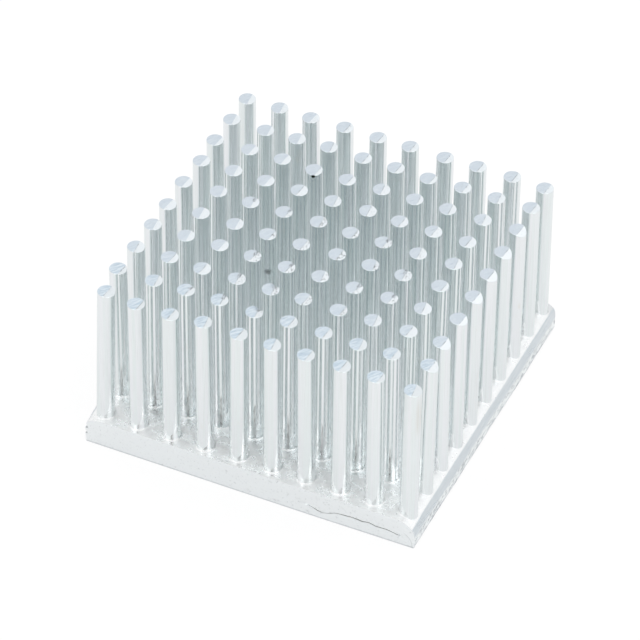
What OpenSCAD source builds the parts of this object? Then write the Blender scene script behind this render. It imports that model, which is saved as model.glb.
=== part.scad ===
// Pin fin heat sink, cold forged from one slug of aluminium.
// A thick base plate carries a square grid of tall round pins. The plate was cut
// to length across Y, so its front and back are flat saw cuts with sharp edges.
// Its two X sides were left free in the die and keep a soft, rolled-over edge.
// The origin is on the underside, in the middle of the plate. +Z is up the pins,
// X runs from one rolled side to the other, Y from the front cut to the back cut.

/* [Pin field] */
// Number of pins in a row along X
pin_count_x = 10; // [2:1:16]
// Number of pins in a row along Y
pin_count_y = 10; // [2:1:16]
// Distance from one pin to the next, the same along X and Y
pitch = 4.1; // [3.4:0.1:6]

/* [Pin] */
// Height of a pin above the plate
pin_h = 18.1; // [5:0.1:30]
// Diameter of a pin at its milled tip
pin_tip_d = 2; // [1.2:0.05:2.05]
// Diameter of a pin at the plate, larger than the tip by the draft of the die
pin_root_d = 2.1; // [2.05:0.05:2.4]
// Radius of the fillet round the root of each pin
root_r = 0.3; // [0.1:0.05:0.5]

/* [Base plate] */
// Thickness of the plate
plate_t = 3.6; // [2.6:0.1:8]
// From the first row of pins to the widest point of the left rolled side
left_margin = 1.85; // [1.4:0.05:6]
// From the last row of pins to the widest point of the right rolled side
right_margin = 1.55; // [1.4:0.05:6]
// From the front row of pins to the front saw cut
front_margin = 1.55; // [1.4:0.05:6]
// From the back row of pins to the back saw cut, which passes close to the pins
back_margin = 1.4; // [1.4:0.05:6]

/* [Rolled sides] */
// How far in from the widest point the top face starts to roll over
roll_w = 2.3; // [0.4:0.1:3]
// How far below the top face the side is widest
roll_h = 1.3; // [0.4:0.1:2]
// How far the side draws in again from its widest point down to the bottom edge
tuck = 0.2; // [0:0.05:0.6]
// Radius of the bottom edge along the rolled sides
bottom_r = 0.25; // [0.1:0.05:0.5]

/* [Hidden] */
aluminium = [0.83, 0.85, 0.87];

plate_w = left_margin + (pin_count_x - 1) * pitch + right_margin;
plate_d = front_margin + (pin_count_y - 1) * pitch + back_margin;
widest_z = plate_t - roll_h;

// The fillet may not reach past the plate's edge or meet the next pin's.
rim_gap = 0.04;
nearest_edge = min(left_margin, right_margin, front_margin, back_margin, pitch / 2);
fillet_r = min(root_r, nearest_edge - pin_root_d / 2 - rim_gap);

// Pins and roots run on into the plate, below any part of the rolled edge near them.
root_overlap = 0.4;
pin_sink = roll_h + root_overlap;

round_fn = 32;
roll_steps = 14;
side_steps = 5;
corner_steps = 4;
fillet_steps = 4;
// The fillet stops this many degrees short of flat, so its rim is a clean edge.
fillet_angle = 80;

// Outline of one rolled side, seen along Y, from the top face round to the bottom.
// w is how far the widest point lies from the middle of the plate.
function rolled_side(w) = concat(
    [for (k = [0:roll_steps])
        let (a = 90 * k / roll_steps)
        [w - roll_w * (1 - sin(a)), widest_z + roll_h * cos(a)]],
    [for (k = [1:side_steps])
        let (s = k / side_steps)
        [w - tuck * s * s, widest_z - (widest_z - bottom_r) * s]],
    [for (k = [1:corner_steps])
        let (a = 90 * k / corner_steps)
        [w - tuck - bottom_r * (1 - cos(a)), bottom_r * (1 - sin(a))]]
);

function mirrored(points) = [
    for (k = [len(points) - 1:-1:0])
    [-points[k][0], points[k][1]]
];

module base_plate() {
    side = rolled_side(plate_w / 2);
    rotate([90, 0, 0])
        linear_extrude(height = plate_d, center = true)
            polygon(concat(side, mirrored(side)));
}

// Radius of a pin at a height above the plate's top face.
function pin_r(z) = (pin_root_d + (pin_tip_d - pin_root_d) * z / pin_h) / 2;

// Half section of the filleted root, with height counted from the plate's top face.
function root_section() = concat(
    [[0, -pin_sink],
     [pin_root_d / 2 + fillet_r, -pin_sink],
     [pin_root_d / 2 + fillet_r, 0]],
    [for (k = [fillet_steps - 1:-1:1])
        let (a = fillet_angle * k / fillet_steps)
        [pin_root_d / 2 + fillet_r * (1 - cos(a)), fillet_r * (1 - sin(a))]],
    [[pin_r(fillet_r), fillet_r],
     [0, fillet_r]]
);

// Repeats what it is given at every place of the pin grid, on the plate's top face.
module on_grid() {
    for (ix = [0:pin_count_x - 1])
        for (iy = [0:pin_count_y - 1])
            translate([left_margin - plate_w / 2 + ix * pitch,
                       front_margin - plate_d / 2 + iy * pitch,
                       plate_t])
                children();
}

module pin() {
    rotate_extrude($fn = round_fn)
        polygon([
            [0, -pin_sink],
            [pin_root_d / 2, -pin_sink],
            [pin_root_d / 2, 0],
            [pin_tip_d / 2, pin_h],
            [0, pin_h]
        ]);
}

module root() {
    rotate_extrude($fn = round_fn)
        polygon(root_section());
}

// The space the fillets may fill: all of it over the flat of the plate, fading out
// towards the rolled sides, where the metal left the die before it met the fillet.
module fillet_space() {
    left_fade = min(left_margin, roll_w);
    right_fade = min(right_margin, roll_w);
    translate([0, 0, plate_t])
        rotate([90, 0, 0])
            linear_extrude(height = plate_d, center = true)
                polygon([
                    [-plate_w / 2, -2 * pin_sink],
                    [-plate_w / 2, -roll_h],
                    [left_fade - plate_w / 2, 2 * fillet_r],
                    [plate_w / 2 - right_fade, 2 * fillet_r],
                    [plate_w / 2, -roll_h],
                    [plate_w / 2, -2 * pin_sink]
                ]);
}

module roots() {
    intersection() {
        on_grid() root();
        fillet_space();
    }
}

module heat_sink() {
    color(aluminium) {
        base_plate();
        on_grid() pin();
        roots();
    }
}

heat_sink();
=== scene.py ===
# %% [markdown]
# # A pin fin heat sink
#
# A heat sink of this kind starts as a slug of soft, pure aluminium. A press squeezes it
# in a die full of round holes, and the metal flows up the holes as pins. The pins, their
# roots and the plate are therefore one piece, and here they are one mesh as well.
#
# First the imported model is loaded. It fixes the size and place of everything: each
# length below is either measured from it or is one of the few sizes that shape it.

# %% Load the frame
import math
import random

import bmesh
import bpy
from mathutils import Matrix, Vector, noise


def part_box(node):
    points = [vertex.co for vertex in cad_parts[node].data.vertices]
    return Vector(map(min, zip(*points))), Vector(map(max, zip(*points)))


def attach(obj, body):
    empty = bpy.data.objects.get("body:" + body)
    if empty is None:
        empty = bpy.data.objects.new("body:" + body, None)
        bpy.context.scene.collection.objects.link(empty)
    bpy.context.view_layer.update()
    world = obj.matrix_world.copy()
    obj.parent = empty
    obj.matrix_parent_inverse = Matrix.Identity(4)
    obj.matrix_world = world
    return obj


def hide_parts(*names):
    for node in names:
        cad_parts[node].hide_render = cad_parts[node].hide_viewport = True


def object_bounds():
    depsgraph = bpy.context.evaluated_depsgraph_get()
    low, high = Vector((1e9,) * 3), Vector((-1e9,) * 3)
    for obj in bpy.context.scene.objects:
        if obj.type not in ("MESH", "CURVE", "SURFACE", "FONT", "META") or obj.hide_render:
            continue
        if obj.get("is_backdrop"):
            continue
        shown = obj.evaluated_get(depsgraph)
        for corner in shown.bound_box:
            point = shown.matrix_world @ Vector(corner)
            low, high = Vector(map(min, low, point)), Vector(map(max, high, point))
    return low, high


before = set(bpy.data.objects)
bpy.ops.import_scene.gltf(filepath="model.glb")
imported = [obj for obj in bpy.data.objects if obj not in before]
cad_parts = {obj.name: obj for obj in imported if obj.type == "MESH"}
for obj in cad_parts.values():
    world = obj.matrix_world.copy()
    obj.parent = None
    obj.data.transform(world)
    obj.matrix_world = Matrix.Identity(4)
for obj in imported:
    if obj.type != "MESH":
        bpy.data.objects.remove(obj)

cad_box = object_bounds()
low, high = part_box("heat_sink")
print("CAD box in mm:", [round(1000 * side, 2) for side in high - low])

# %% [markdown]
# ## Sizes
#
# Blender works in metres, so a millimetre is a named value. The pins' places are read
# off the CAD mesh: its highest points are the rims of the pin tips, so their outermost
# points lie one tip radius outside the outermost rows. The other sizes are those of one
# pin, of its root's fillet, of the rolled edge and of the smooth band below that edge.
# Points closer than WELD are merged where two pieces of the mesh meet.

# %% Measure the pin grid
MM = 0.001
PIN_COUNT = 10
TIP_R = 1.0 * MM
ROOT_R = 1.05 * MM
FILLET_R = 0.2 * MM
PLATE_T = 3.6 * MM
ROLL_W = 2.3 * MM
ROLL_H = 1.3 * MM
BAND_H = 1.2 * MM
BOTTOM_R = 0.12 * MM
WELD = 0.002 * MM

rims = [v.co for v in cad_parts["heat_sink"].data.vertices if v.co.z > high.z - 0.01 * MM]


def row_places(values):
    """The pin rows' places along one axis, from the lowest and highest rim points."""
    first, last = min(values) + TIP_R, max(values) - TIP_R
    return [first + (last - first) * k / (PIN_COUNT - 1) for k in range(PIN_COUNT)]


columns = row_places([p.x for p in rims])
rows = row_places([p.y for p in rims])
pitch = columns[1] - columns[0]
print("pitch in mm:", round(pitch / MM, 3))

# %% [markdown]
# ## Camera
#
# A long lens from half a metre away keeps the pins nearly parallel, as catalogue
# pictures do. The camera is placed by the direction it looks from and the point it
# looks at, which is easier to adjust than three bare coordinates. The lens and the
# sensor's width are in millimetres, as Blender wants them.

# %% Place the camera
AZIMUTH, ELEVATION, ROLL = math.radians(24.31), math.radians(41.65), math.radians(0.54)
DISTANCE = 523.2 * MM
LENS, SENSOR = 262.8, 36
aim = Vector((-0.17, -0.77, 10.14)) * MM

back = Vector((
    math.sin(AZIMUTH) * math.cos(ELEVATION),
    -math.cos(AZIMUTH) * math.cos(ELEVATION),
    math.sin(ELEVATION),
))
camera = bpy.data.objects.new("camera", bpy.data.cameras.new("camera"))
camera.data.sensor_width = SENSOR
camera.data.lens = LENS
camera.data.clip_start = 0.01
camera.data.clip_end = 20
camera.location = aim + back * DISTANCE
camera.rotation_euler = (-back).to_track_quat("-Z", "Y").to_euler()
camera.rotation_euler.rotate_axis("Z", ROLL)
bpy.context.scene.collection.objects.link(camera)
bpy.context.scene.camera = camera
print("camera at", [round(c, 3) for c in camera.location])

# %% [markdown]
# ## The plate's shape
#
# The die's flat face pressed the top of the plate, but the two X sides were free to
# bulge. There the top rolls over in a quarter of an ellipse, and below the widest point
# the side draws in a little. The left side bulges most, a few millimetres behind its
# front corner, and the right one only waves. Functions give the widest point and the
# drop of the rolled edge, and noise adds the slight waves that a forged face has.

# %% Describe the plate's surface
SIDE_TURN = math.radians(60)
LEFT_BULGE = 0.25 * MM
RIGHT_WAVE = 0.06 * MM
CORNER_DROP = 0.3 * MM
WAVE, FINE_WAVE = 0.02 * MM, 0.016 * MM


def hump(distance, width):
    """A smooth bump, 1 at no distance and nearly 0 past the width."""
    return math.exp(-(1.5 * distance / width) ** 2)


def widest(y, side):
    """The widest point of the left (-1) or right (+1) side at y."""
    behind = y - low.y
    if side < 0:
        return low.x - LEFT_BULGE * (1 - hump(behind, 2.5 * MM)) * hump(behind - 3 * MM, 9 * MM)
    return high.x + RIGHT_WAVE * noise.noise(Vector((4.1, y / (5 * MM), 0.3)))


def roll_drop(x, y):
    """How far the top face has rolled down at x, y, a little more at the front right."""
    inward = min(x - widest(y, -1), widest(y, 1) - x)
    past = min(max(1 - inward / ROLL_W, 0), 1)
    corner = CORNER_DROP * hump(widest(y, 1) - x, 1.9 * MM) * hump(y - low.y, 2.6 * MM)
    return ROLL_H * (1 - math.sqrt(1 - past * past)) + corner


def plate_top(x, y):
    """Height of the plate's forged face, with its gentle waves."""
    spot = Vector((x, y, 0)) / MM
    waves = WAVE * noise.noise(spot * 0.55) + FINE_WAVE * noise.noise(spot * 1.6 + Vector((7, 3, 0)))
    return PLATE_T - roll_drop(x, y) + waves


print("plate's face in the middle, in mm:", round(plate_top(0, 0) / MM, 3))

# %% [markdown]
# ## One cell of the pin grid
#
# The top of the plate is divided into one cell per pin. In each cell, rings of points
# run from the pin's root out to the cell's rectangular edge, and spokes join them, so
# the fillet round the root is a real curve in the mesh. Neighbouring cells make the
# same points along a shared edge, and merging those points joins the cells.

# %% Helpers for the cells
SPOKES_PER_SIDE = 8
SPOKES = 4 * SPOKES_PER_SIDE
FILLET_RINGS = 4
PLATE_RINGS = 6


def cell_edges(places, lowest, highest):
    """The borders between the cells along one axis."""
    middles = [(a + b) / 2 for a, b in zip(places, places[1:])]
    return [lowest] + middles + [highest]


def spread(k):
    """Fraction along a cell's side for spoke k, so that spokes leave the pin evenly."""
    angle = math.radians(-45 + 90 * k / SPOKES_PER_SIDE)
    return 0.5 + 0.5 * math.tan(angle)


def cell_border(x0, x1, y0, y1):
    """Points round a cell, anticlockwise from its lower right corner."""
    corners = [(x1, y0), (x1, y1), (x0, y1), (x0, y0), (x1, y0)]
    points = []
    for (ax, ay), (bx, by) in zip(corners, corners[1:]):
        for k in range(SPOKES_PER_SIDE):
            t = spread(k)
            points.append((ax + (bx - ax) * t, ay + (by - ay) * t))
    return points


def ring_faces(mesh, lower, upper, material, smooth=True):
    """Quads between two rings with the same number of points."""
    for k in range(len(lower)):
        n = (k + 1) % len(lower)
        face = mesh.faces.new((lower[k], lower[n], upper[n], upper[k]))
        face.material_index = material
        face.smooth = smooth


print("spokes round a pin:", SPOKES)

# %% [markdown]
# ## Pins
#
# A pin is slightly thicker at the root than at the tip, so that it could leave the die.
# Its flank carries faint grooves along its whole length, scraped by the hole it was
# pushed through. None stands perfectly straight: most lean a little by chance, and the
# table of bent pins, by column and row, holds the few that were knocked over further.
# Its numbers, the lean and the unevenness of the tips are in millimetres.
#
# The faults are drawn once for each pin, from a seeded source and always in the same
# order, so the piece comes out the same every time. The first line numbers the finishes,
# because each face is told its finish by number.

# %% Describe one pin
FLANK, TIP, TORN, FORGED, ROLLED, SAWN, UNDERSIDE, LAP, PITTED = range(9)
LEAN, TIP_UNEVEN = 0.07, 0.02
GROOVE, FINE_GROOVE = 0.006 * MM, 0.004 * MM
TEAR_CHORDS = (5, 6, 6, 6, 7)
TEAR_SLOPE = math.tan(math.radians(9))
STEEP_TEAR = math.tan(math.radians(36))
FAINT_TEAR = 0.4
BENT = {
    (0, 0): (0.4, 0.2), (1, 0): (0.15, -0.3), (2, 0): (0.15, -0.25), (9, 0): (0.25, -0.25),
    (1, 1): (0.2, -0.1), (9, 1): (0.2, 0.1), (1, 8): (0.25, -0.2), (9, 9): (0.1, -0.25),
}
CHIPPED = {
    (2, 1): 0.12, (3, 1): 0.1, (4, 1): 0.5, (4, 2): 0.4, (3, 2): 0.08, (3, 3): 0.08,
    (4, 3): 0.1, (6, 3): 0.1, (7, 3): 0.18, (7, 4): 0.08, (2, 5): 0.08, (3, 5): 0.14, (6, 5): 0.16,
}


def die_groove(angle, seed):
    """How far the flank dips or swells at an angle, the same all along the pin."""
    way = Vector((math.cos(angle), math.sin(angle), seed))
    return GROOVE * noise.noise(way * 2.2) + FINE_GROOVE * noise.noise(way * 5.5)


class Pin:
    """The axis, tip height and small faults of one pin."""

    def __init__(self, column, row, chance):
        self.foot = Vector((columns[column], rows[row], PLATE_T))
        lean = (chance.gauss(0, LEAN), chance.gauss(0, LEAN))
        self.lean = Vector((*BENT.get((column, row), lean), 0)) * MM
        self.top = high.z - chance.uniform(0, TIP_UNEVEN) * MM
        self.seed = chance.uniform(0, 100)
        self.tear_chord = chance.choice(TEAR_CHORDS)
        self.turn = chance.choice((0, 0, 1, 1))
        self.chip = CHIPPED.get((column, row), 0) * MM
        self.tear = TEAR_SLOPE * chance.uniform(0.7, 1.2) * (1.2 - 0.09 * row)
        if column == PIN_COUNT - 1 and 0 < row < PIN_COUNT - 2:
            self.tear = STEEP_TEAR
            self.turn = 0
        self.crease_finish = PITTED
        if column < 3 and row > 2:
            self.tear *= FAINT_TEAR
            self.crease_finish = TORN

    def ring(self, height, radius, groove=1.0):
        """A ring of points round the leaning axis."""
        share = (height - self.foot.z) / (self.top - self.foot.z)
        middle = self.foot + self.lean * share
        points = []
        for k in range(SPOKES):
            angle = math.radians(-45) + 2 * math.pi * k / SPOKES
            r = radius + groove * die_groove(angle, self.seed)
            points.append(Vector((middle.x + r * math.cos(angle), middle.y + r * math.sin(angle), height)))
        return points


print("bent pins:", len(BENT), "chipped tips:", len(CHIPPED))

# %% Build the shaft above the root
SHAFT_LEVELS = [0.012, 0.12, 0.25, 0.4, 0.55, 0.7, 0.85, 0.95]
TIP_BREAK = 0.03 * MM
RIM_R = TIP_R - 0.6 * TIP_BREAK


def add_shaft(mesh, pin, root_ring):
    """The flank from the top of the root fillet to the rim of the tip."""
    lower = root_ring
    for share in SHAFT_LEVELS:
        height = pin.foot.z + (pin.top - pin.foot.z) * share
        radius = ROOT_R + (TIP_R - ROOT_R) * share
        upper = [mesh.verts.new(p) for p in pin.ring(height, radius)]
        ring_faces(mesh, lower, upper, FLANK)
        lower = upper
    edge = [mesh.verts.new(p) for p in pin.ring(pin.top - TIP_BREAK, TIP_R)]
    ring_faces(mesh, lower, edge, FLANK)
    return edge


# %% [markdown]
# ## Pin tips
#
# The tips were milled off together, so each is a level disc. On the side where the cutter
# left the metal it tore a strip, which slopes down past a fine crease. The slope is steep
# along the right column, faint behind at the left, and elsewhere a little gentler with
# each row back. The table of chipped pins gives how deep a piece broke off where the crease
# meets the rim, in millimetres.
#
# A disc could be closed by one fan of faces, but then no edge would follow the crease.
# Chords across the disc do, so the strip has a straight edge and a finish of its own.
# One more chord, a crease's width away, gives the crease its narrow row of faces.

# %% Build one tip
TIP_STEPS = 5
CHIP_WIDTH = 0.55 * MM
CREASE_DEPTH = 0.025 * MM
CREASE_W = 0.05 * MM
TORN_BUMPS = 0.02 * MM
TORN_GRAIN = 0.25 * MM


def tip_finish(pin, chord, step):
    """The finish of one face, by the chord it lies at and the step along that chord."""
    if pin.chip and step >= TIP_STEPS - 2 and abs(chord - pin.tear_chord) < 2:
        return PITTED
    if chord == pin.tear_chord:
        return pin.crease_finish
    return TORN if chord < pin.tear_chord else TIP


def add_tip(mesh, pin, edge):
    """The milled tip: chords across the disc, which slopes down past the tear line."""
    half = SPOKES // 2
    middle = pin.foot + pin.lean
    first = SPOKES_PER_SIDE // 2 + pin.turn
    facing = 2 * math.pi * (pin.turn - 0.5) / SPOKES
    across = Vector((math.cos(facing), math.sin(facing), 0))
    ring = pin.ring(pin.top, RIM_R)
    tear_line = RIM_R * math.cos(2 * math.pi * (pin.tear_chord + 0.5) / SPOKES)
    chip_spot = ring[(first + pin.tear_chord) % SPOKES].copy()

    def settle(point):
        """Lowers a point of the level disc by the tear, the crease and the chip."""
        past = max((point - middle).dot(across) - tear_line, 0)
        rough = TORN_BUMPS * noise.noise(point / TORN_GRAIN) if past > 0 else 0
        crease = CREASE_DEPTH * hump(past - CREASE_W, CREASE_W)
        away = math.dist(point.xy, chip_spot.xy)
        point.z = pin.top - pin.tear * past + rough - crease - pin.chip * hump(away, CHIP_WIDTH)
        return point

    rim = [mesh.verts.new(settle(p)) for p in ring]
    lowered = [max(0, pin.top - v.co.z) for v in rim]
    for vertex, drop in zip(edge, lowered):
        vertex.co.z -= drop
    ring_faces(mesh, edge, rim, FLANK, smooth=False)
    chords = []
    for k in range(half):
        start = rim[(first - 1 - k) % SPOKES]
        end = rim[(first + k) % SPOKES]
        steps = TIP_STEPS if 0 < k < half - 1 else 1
        for shift in (CREASE_W, 0) if k == pin.tear_chord else (0,):
            spots = [start.co.lerp(end.co, s / steps) + across * shift for s in range(1, steps)]
            chords.append([start] + [mesh.verts.new(settle(spot)) for spot in spots] + [end])
    for k, (one, two) in enumerate(zip(chords, chords[1:])):
        if len(one) == len(two):
            corners = [(one[s], one[s + 1], two[s + 1], two[s]) for s in range(TIP_STEPS)]
        else:
            corners = [one + two[::-1]]
        for s, points in enumerate(corners):
            face = mesh.faces.new(list(dict.fromkeys(points)))
            face.material_index = tip_finish(pin, k, s)


print("tear slope, steep and plain:", round(STEEP_TEAR, 3), round(TEAR_SLOPE, 3))

# %% [markdown]
# ## All the cells
#
# Each cell is built from the root outward, and the pin is built on the innermost ring.
# The fillet is laid on top of the plate's own height, so at the rolled sides it follows
# the edge down, as the metal does, and it grows smaller where the edge drops away.

# %% Build the top of the plate with its pins
SHOULDER = ROLL_W * (1 - math.sin(SIDE_TURN))
FILLET_LOST, FILLET_LEAST = 0.5 * MM, 0.15
chance = random.Random(7)
mesh = bmesh.new()


def add_cell(pin, x0, x1, y0, y1):
    """The top of the plate round one pin, and the pin."""
    border = cell_border(x0, x1, y0, y1)
    rings = []
    for k in range(FILLET_RINGS + 1):
        turn = math.radians(90 * k / FILLET_RINGS)
        rings.append((ROOT_R + FILLET_R * (1 - math.cos(turn)), FILLET_R * (1 - math.sin(turn)), 0.0))
    for k in range(1, PLATE_RINGS + 1):
        rings.append((ROOT_R + FILLET_R, 0.0, k / PLATE_RINGS))
    inner = None
    for number, (radius, rise, share) in enumerate(rings):
        points = []
        for round_point, edge_point in zip(pin.ring(PLATE_T, radius, 1 - share), border):
            x = round_point.x + (edge_point[0] - round_point.x) * share
            y = round_point.y + (edge_point[1] - round_point.y) * share
            kept = min(max(1 - roll_drop(x, y) / FILLET_LOST, FILLET_LEAST), 1)
            points.append(mesh.verts.new((x, y, plate_top(x, y) + rise * kept)))
        if inner:
            ring_faces(mesh, points, inner, FLANK if number == 1 else FORGED)
        else:
            root_ring = points
        inner = points
    add_tip(mesh, pin, add_shaft(mesh, pin, root_ring))


y_edges = cell_edges(rows, low.y, high.y)
for row in range(PIN_COUNT):
    for column in range(PIN_COUNT):
        pin = Pin(column, row, chance)
        x_edges = cell_edges(columns, low.x + SHOULDER, high.x - SHOULDER)
        add_cell(pin, x_edges[column], x_edges[column + 1], y_edges[row], y_edges[row + 1])
bmesh.ops.remove_doubles(mesh, verts=mesh.verts, dist=WELD)
print("points in the top and pins:", len(mesh.verts))

# %% [markdown]
# ## The rolled sides
#
# From the outermost spokes of the cells, columns of points run down each free side:
# over the last of the roll, down the flank that draws in, and round the bottom edge.
# Noise ripples them, and two small chips are pushed in at the front left corner.

# %% Build the two rolled sides
BAND_STEPS, FLANK_STEPS, BOTTOM_STEPS = 4, 6, 2
SIDE_ROWS = BAND_STEPS + FLANK_STEPS + BOTTOM_STEPS
DRAW_IN = 0.04 * MM
SIDE_RIPPLE = 0.03 * MM
CORNER_CHIP = 0.16 * MM


def edge_places(edges):
    """Every spoke's end along one side of the plate."""
    places = []
    for start, end in zip(edges, edges[1:]):
        places += [start + (end - start) * spread(k) for k in range(SPOKES_PER_SIDE)]
    return places + [edges[-1]]


def side_profile(y, side):
    """Points down one side at y, from the edge of the top to the underside."""
    x_top = low.x + SHOULDER if side < 0 else high.x - SHOULDER
    out = widest(y, side)
    z_top = plate_top(x_top, y)
    points = [Vector((x_top, y, z_top))]
    for k in range(1, BAND_STEPS + 1):
        s = k / BAND_STEPS
        x = x_top + (out - x_top) * math.sqrt(1 - (1 - s) ** 1.6)
        points.append(Vector((x, y, z_top - BAND_H * s)))
    for k in range(1, FLANK_STEPS + 1):
        s = k / FLANK_STEPS
        points.append(Vector((out - side * DRAW_IN * s, y, (z_top - BAND_H) * (1 - s) + BOTTOM_R * s)))
    for k in range(1, BOTTOM_STEPS + 1):
        turn = math.radians(90 * k / BOTTOM_STEPS)
        x = out - side * (DRAW_IN + BOTTOM_R * (1 - math.cos(turn)))
        points.append(Vector((x, y, BOTTOM_R * (1 - math.sin(turn)))))
    for point in points[BAND_STEPS:-1]:
        point.x += side * SIDE_RIPPLE * noise.noise(point / (0.7 * MM))
    if side < 0 and y < low.y + 0.1 * MM:
        for k in (BAND_STEPS - 2, BAND_STEPS + 1):
            points[k].x += CORNER_CHIP
    return points


side_ys = edge_places(y_edges)
profiles = {side: [side_profile(y, side) for y in side_ys] for side in (-1, 1)}
for side in (-1, 1):
    grid = [[mesh.verts.new(p) for p in column] for column in profiles[side]]
    for one, two in zip(grid, grid[1:]):
        for k in range(SIDE_ROWS):
            face = mesh.faces.new((one[k], two[k], two[k + 1], one[k + 1]))
            face.material_index = ROLLED
            face.smooth = True
print("rows down a side:", SIDE_ROWS)

# %% [markdown]
# ## The saw cuts
#
# The slug was cut from a bar before it was pressed, or the plate was cut after; either
# way the front and back are flat. The front shows how the metal flowed: a lap, where
# two flows met and did not weld, runs across the right half as a fine open crack. It is
# a real groove here: a grid of points covers the cut, three of its rows follow the crack,
# and the middle one is pushed in. The path of the crack is a list of x and z in
# millimetres, and so are the x of its start, its widest place and its end. The underside
# closes what is still open with one flat face.

# %% Build the two cut faces and the underside
LAP_ROW = BAND_STEPS + 2
LAP_HALF = 0.06 * MM
LAP_DEPTH = 0.2 * MM
LAP_PATH = [
    (5.6, 1.9), (7.4, 1.44), (8.7, 0.92), (9.7, 1.13), (10.5, 1.55), (12.6, 1.71),
    (13.6, 1.56), (14.4, 1.74), (15.4, 1.5), (16.4, 1.6), (17.4, 1.4), (18.6, 1.1),
]
LAP_START, LAP_WIDEST, LAP_END = 6.4, 13.2, 18.7


def lap_height(x):
    """Height of the lap on the front face at x."""
    at = min(max(x / MM, LAP_PATH[0][0]), LAP_PATH[-1][0])
    for (xa, za), (xb, zb) in zip(LAP_PATH, LAP_PATH[1:]):
        if at <= xb:
            return (za + (zb - za) * (at - xa) / (xb - xa)) * MM
    return LAP_PATH[-1][1] * MM


def lap_strength(x):
    """1 along the open part of the lap, fading to 0 past its two ends."""
    at = x / MM
    return min(max((at - LAP_START) / 1.2, 0), max((LAP_END - at) / 0.9, 0), 1)


def cut_face(y, front):
    """A grid of points between the two side profiles, open at no edge."""
    left, right = [profiles[side][0 if front else -1] for side in (-1, 1)]
    xs = edge_places(cell_edges(columns, low.x + SHOULDER, high.x - SHOULDER))
    grid = []
    for x in xs:
        u = (x - xs[0]) / (xs[-1] - xs[0])
        top = Vector((x, y, plate_top(x, y)))
        column = []
        for k in range(SIDE_ROWS + 1):
            z = top.z * (left[k].z / left[0].z * (1 - u) + right[k].z / right[0].z * u)
            across = left[k].x * (1 - u) + right[k].x * u
            column.append(Vector((across, y, z)))
        column[0] = top
        strength = lap_strength(x) if front else 0
        if strength > 0:
            before = column[LAP_ROW].z
            after = before + (lap_height(x) - before) * strength
            for point in column[:LAP_ROW + 1]:
                point.z = top.z - (top.z - point.z) * (top.z - after) / (top.z - before)
            for point in column[LAP_ROW + 1:]:
                point.z *= after / before
            for k, sign in ((LAP_ROW - 1, 1), (LAP_ROW + 1, -1)):
                ragged = noise.noise(Vector((x / (0.8 * MM), sign, 5.2)))
                gap = LAP_HALF * (0.7 + 0.9 * ragged + 0.6 * hump(x - LAP_WIDEST * MM, 3.5 * MM))
                close = column[LAP_ROW].z + sign * gap
                column[k].z += (close - column[k].z) * strength
            column[LAP_ROW].y += LAP_DEPTH * strength
        grid.append([mesh.verts.new(p) for p in column])
    for one, two in zip(grid, grid[1:]):
        open_lap = min(one[LAP_ROW].co.y, two[LAP_ROW].co.y) > y + 0.7 * LAP_DEPTH
        for k in range(SIDE_ROWS):
            face = mesh.faces.new((one[k], one[k + 1], two[k + 1], two[k]))
            face.material_index = LAP if open_lap and k in (LAP_ROW - 1, LAP_ROW) else SAWN
            face.smooth = True


cut_face(low.y, True)
cut_face(high.y, False)
bmesh.ops.remove_doubles(mesh, verts=mesh.verts, dist=WELD)
open_rim = [e for e in mesh.edges if e.is_boundary]
bottom = bmesh.ops.contextual_create(mesh, geom=open_rim)["faces"]
for face in bottom:
    face.material_index = UNDERSIDE
print("open edges before the underside:", len(open_rim), "faces closing it:", len(bottom))

# %% [markdown]
# ## The finished mesh
#
# Edges sharper than a fillet's step stay sharp in the shading, such as the saw cut's
# rim and the edges of the tips. The front cut is slightly askew: at the right it leaves
# a quarter of a millimetre more metal. The mesh is closed, like the solid itself.

# %% Make the piece
SHARP = math.radians(32)
SKEW = 0.26 * MM
SKEW_REACH = 0.3 * MM
for vertex in mesh.verts:
    near = 1 - (vertex.co.y - low.y) / SKEW_REACH
    if near > 0 and vertex.co.z < PLATE_T + 0.1 * MM:
        across = min(max((vertex.co.x - low.x) / (0.7 * (high.x - low.x)), 0), 1)
        vertex.co.y -= SKEW * across * near
bmesh.ops.recalc_face_normals(mesh, faces=mesh.faces)
for edge in mesh.edges:
    if edge.is_manifold and edge.calc_face_angle(0) > SHARP:
        edge.smooth = False
print("open or doubled edges:", sum(not e.is_manifold for e in mesh.edges))
print("triangles:", sum(len(f.verts) - 2 for f in mesh.faces))

data = bpy.data.meshes.new("forged_heat_sink")
mesh.to_mesh(data)
mesh.free()
heat_sink = bpy.data.objects.new("forged_heat_sink", data)
bpy.context.scene.collection.objects.link(heat_sink)
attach(heat_sink, "root")
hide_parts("heat_sink")

# %% [markdown]
# ## A small language for finishes
#
# Each finish is a node tree. Two small classes let its maths be written as Python
# expressions: a Value wraps one socket, and sums or products of values add Math nodes.
# A Finish adds any other node by one method, and has a few named ones for what the
# finishes below need most: places, noise, soft steps, blends of two colours and relief.

# %% Values and finishes


class Value:
    """One output socket of a finish."""

    def __init__(self, finish, socket):
        self.finish = finish
        self.socket = socket

    def math(self, operation, one, two):
        return self.finish.node("ShaderNodeMath", {"operation": operation}, {0: one, 1: two})

    def __add__(self, other):
        return self.math("ADD", self, other)

    def __sub__(self, other):
        return self.math("SUBTRACT", self, other)

    def __rsub__(self, other):
        return self.math("SUBTRACT", other, self)

    def __mul__(self, other):
        return self.math("MULTIPLY", self, other)

    __radd__ = __add__
    __rmul__ = __mul__


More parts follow.
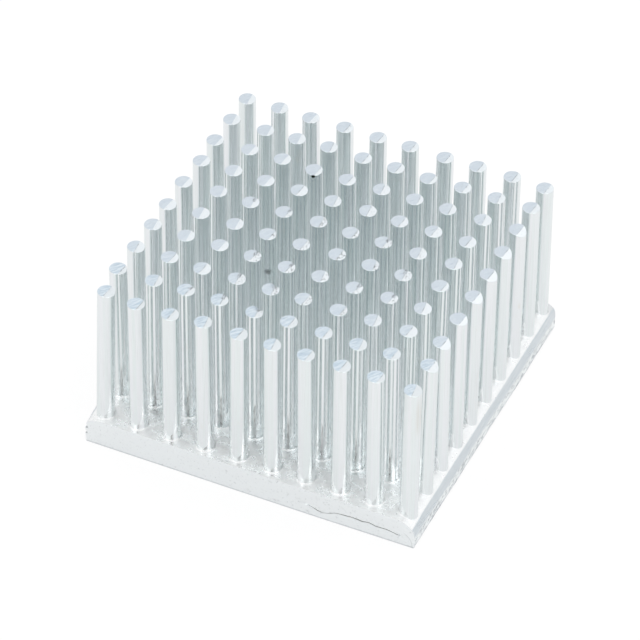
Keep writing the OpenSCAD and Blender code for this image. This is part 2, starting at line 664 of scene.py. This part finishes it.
class Finish:
    """A node tree, built one node at a time."""

    def __init__(self, owner):
        owner.use_nodes = True
        self.owner = owner
        self.tree = owner.node_tree
        self.tree.nodes.clear()

    def node(self, kind, settings=None, feeds=None, output=0):
        """Adds a node, sets its settings and then its inputs; returns one output."""
        made = self.tree.nodes.new(kind)
        for name, setting in (settings or {}).items():
            setattr(made, name, setting)
        for name, given in (feeds or {}).items():
            if isinstance(given, Value):
                self.tree.links.new(given.socket, made.inputs[name])
            else:
                made.inputs[name].default_value = given
        return Value(self, made.outputs[output]) if made.outputs else made

    def spot(self, x=1, y=1, z=1):
        """The place on the object in millimetres, stretched along each axis."""
        place = self.node("ShaderNodeTexCoord", output="Object")
        stretch = (x / MM, y / MM, z / MM)
        return self.node("ShaderNodeVectorMath", {"operation": "MULTIPLY"}, {0: place, 1: stretch})

    def grain(self, place, scale, detail=2, roughness=0.5):
        """Noise from 0 to 1, with features about 1/scale millimetres across."""
        feeds = {"Vector": place, "Scale": scale, "Detail": detail, "Roughness": roughness}
        return self.node("ShaderNodeTexNoise", feeds=feeds)

    def fade(self, value, start, end):
        """0 up to start and 1 from end on, with a soft step; start may be the larger."""
        feeds = {"Value": value, "From Min": start, "From Max": end}
        return self.node("ShaderNodeMapRange", {"interpolation_type": "SMOOTHSTEP"}, feeds)

    def axis(self, number):
        """One coordinate of the object in millimetres: 0 for x, 1 for y, 2 for z."""
        return self.node("ShaderNodeSeparateXYZ", feeds={0: self.spot()}, output=number)

    def distance(self, point, x=1, y=1, z=1):
        """Distance in millimetres from a point, with the axes stretched."""
        centre = (point[0] * x, point[1] * y, point[2] * z)
        feeds = {0: self.spot(x, y, z), 1: centre}
        return self.node("ShaderNodeVectorMath", {"operation": "DISTANCE"}, feeds, "Value")

    def blend(self, factor, one, two):
        """A colour between two colours."""
        return self.node("ShaderNodeMix", {"data_type": "RGBA"}, {0: factor, 6: one, 7: two}, output=2)

    def relief(self, height, depth):
        """A normal bent as if the surface rose by depth where height is 1."""
        return self.node("ShaderNodeBump", feeds={"Height": height, "Distance": depth, "Strength": 1.0})


def metal(colour, rough, normal=None, bare=1.0):
    """Closes an aluminium finish, where bare is 1 for clean metal; returns its material."""
    finish = colour.finish
    feeds = {"Base Color": colour, "Metallic": bare, "Roughness": rough}
    if normal:
        feeds["Normal"] = normal
    shader = finish.node("ShaderNodeBsdfPrincipled", feeds=feeds)
    finish.node("ShaderNodeOutputMaterial", feeds={"Surface": shader})
    print("finish", finish.owner.name, "has", len(finish.tree.nodes), "nodes")
    return finish.owner


# %% [markdown]
# ## Pins: drawn flanks
#
# The die burnished the flanks, so they are close to mirrors, but each hole left fine
# lines that run the whole length of its pin. Noise stretched along Z gives both the
# lines' relief and their slightly duller shine. A few stains come from the lubricant.
#
# Three marks belong to single pins: the front right corner pin is scorched in streaks,
# one flank near the middle is smudged, and one further back has a nick below its tip.
# Each is a soft spot round a place, given in millimetres.

# %% Flank finish
SCORCHED = (19.55, -18.9, 18.4)
SMUDGED = (-5.6, -2.9, 17)
NICKED = (-5.75, 9.36, 21.5)

finish = Finish(bpy.data.materials.new("drawn_flank"))
lines = finish.grain(finish.spot(z=0.003), 5.5, 3, 0.6)
fine = finish.grain(finish.spot(z=0.01), 14, 2)
bands = finish.grain(finish.spot(z=0.01), 1.8, 2)
patches = finish.grain(finish.spot(z=0.4), 1.2, 3)
stain = finish.fade(patches, 0.66, 0.82)
banding = finish.fade(bands, 0.35, 0.65)
colour = finish.blend(banding, (0.852, 0.89, 0.888, 1), (0.893, 0.905, 0.918, 1))
colour = finish.blend(finish.fade(fine, 0.5, 0.65) * 0.5, colour, (0.80, 0.82, 0.82, 1))
colour = finish.blend(stain * 0.6, colour, (0.84, 0.83, 0.79, 1))
scorch = finish.fade(finish.distance(SCORCHED, z=0.25), 0.9, 0.3) * finish.fade(bands, 0.3, 0.6)
colour = finish.blend(scorch * 0.5, colour, (0.70, 0.68, 0.62, 1))
smudge = finish.fade(finish.distance(SMUDGED), 0.6, 0.05) * 0.6
nick = finish.fade(finish.distance(NICKED), 0.28, 0.16)
colour = finish.blend(smudge + nick, colour, (0.06, 0.065, 0.06, 1))
rough = 0.09 + finish.fade(lines, 0.4, 0.75) * 0.08 + stain * 0.1
normal = finish.relief(lines * 0.6 + fine * 0.4, 0.0055 * MM)
flank = metal(colour, rough, normal)

# %% [markdown]
# ## Tips: milled level
#
# The cutter swept slantwise over the tips and left fine lines on the level part of each.
# That part is painted a cooler, darker blue-grey than the torn strip: a painted reflection
# of the cool tent above, added to the real reflection that the level metal shows. Turned
# and stretched noise gives the lines both their colour and their relief. They are fresh on
# the front rows and duller behind, and smears and scratches lie over them.

# %% Milled finish
HATCH_TURN = -0.94
FRONT_ROWS, BACK_ROWS = -18, -6

finish = Finish(bpy.data.materials.new("milled_tip"))
feeds = {"Vector": finish.spot(), "Angle": HATCH_TURN}
turned = finish.node("ShaderNodeVectorRotate", {"rotation_type": "Z_AXIS"}, feeds)
stretched = finish.node("ShaderNodeVectorMath", {"operation": "MULTIPLY"}, {0: turned, 1: (0.12, 1, 0.5)})
lines = finish.grain(stretched, 7, 2, 0.5)
smears = finish.grain(finish.spot(), 2.5, 2)
worn = finish.fade(finish.axis(1), FRONT_ROWS, BACK_ROWS)
# Both palettes are painted blue-grey: painted reflection of the cool tent, along with the wear.
fresh_and_painted_reflection = finish.blend(finish.fade(lines, 0.4, 0.6), (0.53, 0.62, 0.70, 1), (0.74, 0.80, 0.85, 1))
dull_and_painted_reflection = finish.blend(finish.fade(lines, 0.35, 0.7), (0.62, 0.67, 0.73, 1), (0.70, 0.745, 0.79, 1))
colour = finish.blend(worn, fresh_and_painted_reflection, dull_and_painted_reflection)
colour = finish.blend(finish.fade(smears, 0.62, 0.75) * 0.5, colour, (0.56, 0.60, 0.64, 1))
scratches = finish.fade(finish.grain(finish.spot(), 9, 3, 0.7), 0.52, 0.66)
colour = finish.blend(scratches * 0.4, colour, (0.46, 0.49, 0.52, 1))
tip = metal(colour, 0.22 + lines * 0.2, finish.relief(lines, 0.008 * MM))

# %% [markdown]
# ## Tips: torn and pitted
#
# The torn strip is paler and coarser than the milled part. Grit from noise roughens and
# darkens it, and towards the middle of the heat sink it broke into darker grains.
# The crease at its edge and the places where a chip broke away are pitted: dark grains
# and pale metal side by side, with the deepest relief of all the finishes.

# %% Torn and pitted finishes
BROKEN = (2, -4, 21.7)

finish = Finish(bpy.data.materials.new("torn_tip"))
grit = finish.grain(finish.spot(), 5, 4, 0.65)
broken = finish.fade(finish.distance(BROKEN), 13, 5)
worn = finish.fade(finish.axis(1), FRONT_ROWS, BACK_ROWS)
clean = finish.blend(worn, (0.76, 0.785, 0.80, 1), (0.83, 0.855, 0.875, 1))
colour = finish.blend(finish.fade(grit, 0.6, 0.75), clean, (0.55, 0.57, 0.59, 1))
colour = finish.blend(finish.fade(grit, 0.54, 0.6) * broken, colour, (0.22, 0.24, 0.25, 1))
torn = metal(colour, 0.38 + grit * 0.2, finish.relief(grit, 0.05 * MM))

finish = Finish(bpy.data.materials.new("pitted_tip"))
grit = finish.grain(finish.spot(y=0.4), 6, 4, 0.7)
colour = finish.blend(finish.fade(grit, 0.42, 0.56), (0.28, 0.30, 0.32, 1), (0.70, 0.74, 0.78, 1))
pitted = metal(colour, 0.4 + grit * 0.2, finish.relief(grit, 0.1 * MM))

# %% [markdown]
# ## The plate: pressed face
#
# The pressed face took on the fine pitting of the die, so noise of about a sixth of a
# millimetre gives its relief and its slightly darker grains. A thin pale film lies over
# the metal in clouds, thickest along the front and right margins. A film scatters light
# as paint does, so it lowers Metallic, which shows light from every side evenly.
#
# The right margin is painted darker in specks: painted shade on this open, brightly lit
# margin. Some dirt is left between two of the front pins, and the back right corner is
# painted darker: painted shade on its rolled edge.

# %% Pressed finish
DIRTY = (-13.3, -15.4, 3.6)
SHADED_CORNER = (19.4, 19.6, 3.2)

finish = Finish(bpy.data.materials.new("pressed_plate"))
pitting = finish.grain(finish.spot(), 6, 3, 0.6)
clouds = finish.fade(finish.grain(finish.spot(), 0.9, 3), 0.4, 0.6)
grains = finish.fade(pitting, 0.54, 0.66)
colour = finish.blend(grains, (0.98, 0.975, 0.97, 1), (0.87, 0.87, 0.865, 1))
dirt = finish.fade(finish.distance(DIRTY), 1.3, 0.4) * finish.fade(pitting, 0.48, 0.52)
colour = finish.blend(dirt * 0.5, colour, (0.20, 0.20, 0.19, 1))
rolled_margin = finish.fade(finish.axis(0), 17, 19)
margin_shade_specks = finish.fade(finish.grain(finish.spot(), 8, 2, 0.6), 0.4, 0.6)
# Painted shade: the open right margin is painted darker in specks, so that its bright light doesn't burn it
# out.
colour = finish.blend(rolled_margin * (0.25 + margin_shade_specks * 0.4), colour, (0.78, 0.79, 0.80, 1))
# Painted shade: the rolled edge at the back right corner is painted darker.
corner = finish.fade(finish.distance(SHADED_CORNER), 1.8, 0.6)
colour = finish.blend(corner * 0.6, colour, (0.55, 0.57, 0.58, 1))
margin = finish.fade(finish.axis(1), -14, -17.5) * 0.7 + rolled_margin
film = finish.fade(finish.grain(finish.spot(), 1.6, 3) * 0.5 + margin * 0.5, 0.2, 0.9)
rough = 0.19 + clouds * 0.2 + film * 0.1
forged = metal(colour, rough, finish.relief(pitting, 0.032 * MM), 1 - film * 0.6)

# %% [markdown]
# ## The plate: rolled sides
#
# Where the edge rolled over, the metal was stretched smooth, and lower down the slug's
# own rough skin is left. Height picks one or the other, and speckle added to the height
# makes the border between them ragged. The smooth band is painted a darker, cooler grey
# than the skin: partly its own finish, partly a painted reflection of the dim surroundings
# low beside the plate. The bottom edge is painted darker: painted shade where the plate
# meets the floor.

# %% Rolled finish
finish = Finish(bpy.data.materials.new("rolled_side"))
height = finish.axis(2)
speckle = finish.grain(finish.spot(y=0.35), 4, 4, 0.65)
skin = finish.fade(height + speckle * 0.8, 2.2, 1.7)
drawn = finish.grain(finish.spot(y=0.1), 3, 3)
stretched = finish.fade(drawn, 0.3, 0.7)
# Partly painted reflection: the smooth band's darker, cooler grey stands in for the dim surroundings it
# mirrors.
colour = finish.blend(stretched, (0.67, 0.715, 0.745, 1), (0.745, 0.775, 0.80, 1))
colour = finish.blend(skin, colour, (0.94, 0.955, 0.955, 1))
colour = finish.blend(finish.fade(speckle, 0.48, 0.6) * skin, colour, (0.56, 0.58, 0.60, 1))
# Painted shade: darker along the bottom edge, where the plate meets the floor.
rolled_bottom_shade = finish.fade(height, 0.3, 0.1)
colour = finish.blend(rolled_bottom_shade * 0.7, colour, (0.40, 0.42, 0.43, 1))
rough = 0.22 + drawn * 0.15 + skin * 0.25
rolled = metal(colour, rough, finish.relief(speckle * skin + drawn * 0.15, 0.035 * MM))

# %% [markdown]
# ## The plate: saw cuts
#
# The saw left an even, matte face. Noise stretched along X makes its faint marks, and
# finer noise the specks and pores. The bottom edge is painted darker: painted shade where
# the plate meets the floor. At the left end two small chips are dark. Near the right end a
# fold in the metal shows as an arc, which is part of a ring round a point low on the face:
# its distance from that point picks it.

# %% Sawn finish
FOLD_CENTRE = (18.1, 0, 0.2)
CHIPS = {(-20.0, -19.9, 2.15): (0.26, 0.12), (-20.05, -19.9, 1.3): (0.22, 0.1)}

finish = Finish(bpy.data.materials.new("saw_cut"))
marks = finish.grain(finish.spot(x=0.12), 5, 3)
specks = finish.grain(finish.spot(), 3.2, 4, 0.6)
# Painted shade: darker along the bottom edge, where the plate meets the floor.
sawn_bottom_shade = finish.fade(finish.axis(2) + specks * 0.3, 0.4, 0.2)
speckled = finish.fade(specks, 0.55, 0.75)
colour = finish.blend(speckled, (0.905, 0.92, 0.925, 1), (0.745, 0.76, 0.765, 1))
colour = finish.blend(sawn_bottom_shade * 0.6, colour, (0.50, 0.52, 0.54, 1))
pores = finish.fade(finish.grain(finish.spot(), 2.4, 1), 0.71, 0.75)
around = finish.distance(FOLD_CENTRE, y=0)
fold = finish.fade(around, 1.7, 1.77) * finish.fade(around, 1.86, 1.79)
fold = fold * finish.fade(finish.axis(0), 18.7, 19.1)
chips = sum(finish.fade(finish.distance(place), *reach) for place, reach in CHIPS.items())
colour = finish.blend(fold * 0.35 + pores * 0.25 + chips * 0.8, colour, (0.42, 0.44, 0.45, 1))
rough = 0.38 + marks * 0.15
sawn = metal(colour, rough, finish.relief(marks * 0.6 + specks * 0.6, 0.012 * MM))

# %% [markdown]
# ## The underside and the lap
#
# The underside seats on the part that it cools, so it is machined flat and keeps only
# faint marks. The inside of the lap is oxidised: dull, grey and only partly metallic.
# All the finishes then go into the piece's slots, in the order of the numbers that the
# faces were given.

# %% Underside and lap finishes
finish = Finish(bpy.data.materials.new("base_face"))
marks = finish.grain(finish.spot(x=0.08), 4, 3)
colour = finish.blend(marks, (0.78, 0.80, 0.82, 1), (0.84, 0.86, 0.87, 1))
base = metal(colour, 0.3 + marks * 0.15, finish.relief(marks, 0.006 * MM))

finish = Finish(bpy.data.materials.new("open_lap"))
dirt = finish.grain(finish.spot(), 3, 3)
colour = finish.blend(dirt, (0.42, 0.44, 0.43, 1), (0.62, 0.63, 0.62, 1))
lap = metal(colour, 0.5 + dirt * 0.2, bare=0.4)

for made in (flank, tip, torn, forged, rolled, sawn, base, lap, pitted):
    heat_sink.data.materials.append(made)
print("finishes in their slots:", [slot.name for slot in heat_sink.material_slots])

# %% [markdown]
# ## Studio
#
# Polished metal shows its surroundings, so the studio is a pale tent, made by the world's
# shader. What the metal mirrors of it is brightest in a band high on the walls, and
# darker towards the horizon and straight overhead, so that level faces don't burn out.
# At the front the tent has a dark opening with a bright border, which gives the dark
# wedges and the light flares at the feet of the pins. A matte surface is lit evenly.
# Light goes to and fro between the pins, so many mirrored bounces are allowed.

# %% Put up the tent
scene = bpy.context.scene
scene.view_settings.view_transform = "Standard"
BOUNCES = 16
scene.cycles.max_bounces = BOUNCES
scene.cycles.glossy_bounces = BOUNCES


def ray(finish, kind):
    """1 for one kind of ray, such as "Is Camera Ray", and 0 for all others."""
    return finish.node("ShaderNodeLightPath", output=kind)


COOL = (0.955, 0.985, 1, 1)
WHITE = (1, 1, 1, 1)
OPENING = Vector((0.31, -0.68, 0.66))
EVEN_LIGHT = 1.04
HORIZON, HIGH_BAND, OVERHEAD = 0.88, 0.36, -0.45
BORDER, DARKENING = 0.72, 0.95

world = bpy.data.worlds.new("tent")
scene.world = world
sky = Finish(world)
direction = sky.node("ShaderNodeTexCoord", output="Generated")
up = sky.node("ShaderNodeSeparateXYZ", feeds={0: direction}, output=2)
facing = sky.node("ShaderNodeVectorMath", {"operation": "DOT_PRODUCT"}, {0: direction, 1: OPENING}, "Value")
walls = HORIZON + sky.fade(up, 0.5, 0.8) * HIGH_BAND + sky.fade(up, 0.86, 0.97) * OVERHEAD
border = sky.fade(facing, 0.55, 0.8) * sky.fade(up, 0.92, 0.8)
opening = sky.fade(facing, 0.89, 0.96)
mirrored = walls * (1 + border * BORDER) * (1 - opening * DARKENING)
strength = EVEN_LIGHT + ray(sky, "Is Glossy Ray") * (mirrored - EVEN_LIGHT)
tint = sky.blend(ray(sky, "Is Glossy Ray"), WHITE, COOL)
tent = sky.node("ShaderNodeBackground", feeds={"Color": tint, "Strength": strength})
sky.node("ShaderNodeOutputWorld", feeds={"Surface": tent})
print("tent:", len(sky.tree.nodes), "nodes")

# %% [markdown]
# ## Floor
#
# The floor is pale paper. To the lens and to the metal it glows like a light table, so
# it looks plain white and fills the mirrors from below, and to other light it is matte,
# so the heat sink still throws a faint soft shadow on it.

# %% Lay the floor
FLOOR_SIZE = 3.0
FLOOR_GLOW, SEEN_GLOW = 0.82, 0.2
SEEN_SHARE, MIRRORED_SHARE = 0.8, 0.5

paper = Finish(bpy.data.materials.new("paper_floor"))
matte = paper.node("ShaderNodeBsdfDiffuse", feeds={"Color": (0.96, 0.96, 0.96, 1)})
tint = paper.blend(ray(paper, "Is Camera Ray"), COOL, WHITE)
glow = FLOOR_GLOW + ray(paper, "Is Camera Ray") * SEEN_GLOW
white = paper.node("ShaderNodeEmission", feeds={"Color": tint, "Strength": glow})
shown = ray(paper, "Is Camera Ray") * SEEN_SHARE
in_metal = (ray(paper, "Is Glossy Ray") + ray(paper, "Is Transmission Ray")) * MIRRORED_SHARE
floor_look = paper.node("ShaderNodeMixShader", feeds={0: shown + in_metal, 1: matte, 2: white})
paper.node("ShaderNodeOutputMaterial", feeds={"Surface": floor_look})

floor_mesh = bmesh.new()
bmesh.ops.create_grid(floor_mesh, x_segments=8, y_segments=8, size=FLOOR_SIZE)
floor_data = bpy.data.meshes.new("floor")
floor_mesh.to_mesh(floor_data)
floor_mesh.free()
floor = bpy.data.objects.new("floor", floor_data)
floor.location.z = low.z
floor_data.materials.append(paper.owner)
scene.collection.objects.link(floor)
floor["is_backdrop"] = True
print("floor side in m:", 2 * FLOOR_SIZE)

# %% [markdown]
# ## Lamps
#
# Two large soft lamps help the tent: one overhead, and one high at the right and behind,
# which gives each flank a light side. They stay weak, because bright lamps would burn out
# the tips. Places and sizes are in metres and powers in watts.

# %% Hang the lamps
LAMP_SIZE = 0.8
OVERHEAD_PLACE, OVERHEAD_POWER = Vector((0.1, 0.0, 0.8)), 0.45
WINDOW_PLACE, WINDOW_POWER = Vector((0.67, 0.33, 0.66)), 0.8


def soft_lamp(name, place, power):
    """A square area lamp that points at the plate."""
    lamp = bpy.data.objects.new(name, bpy.data.lights.new(name, "AREA"))
    lamp.data.size = LAMP_SIZE
    lamp.data.energy = power
    lamp.location = place
    lamp.rotation_euler = (-place).to_track_quat("-Z", "Y").to_euler()
    scene.collection.objects.link(lamp)
    return lamp


overhead = soft_lamp("overhead_lamp", OVERHEAD_PLACE, OVERHEAD_POWER)
window = soft_lamp("side_window", WINDOW_PLACE, WINDOW_POWER)
print("lamp powers in W:", overhead.data.energy, window.data.energy)

# %% [markdown]
# ## Finish
#
# Both boxes, the imported model's and the visual one's, are printed, one under the other.

# %% Write the sizes and finish
visual_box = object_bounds()
for name, box in (("CAD", cad_box), ("visual", visual_box)):
    print(name, "box in mm:", [round(1000 * (b - a), 2) for a, b in zip(*box)])
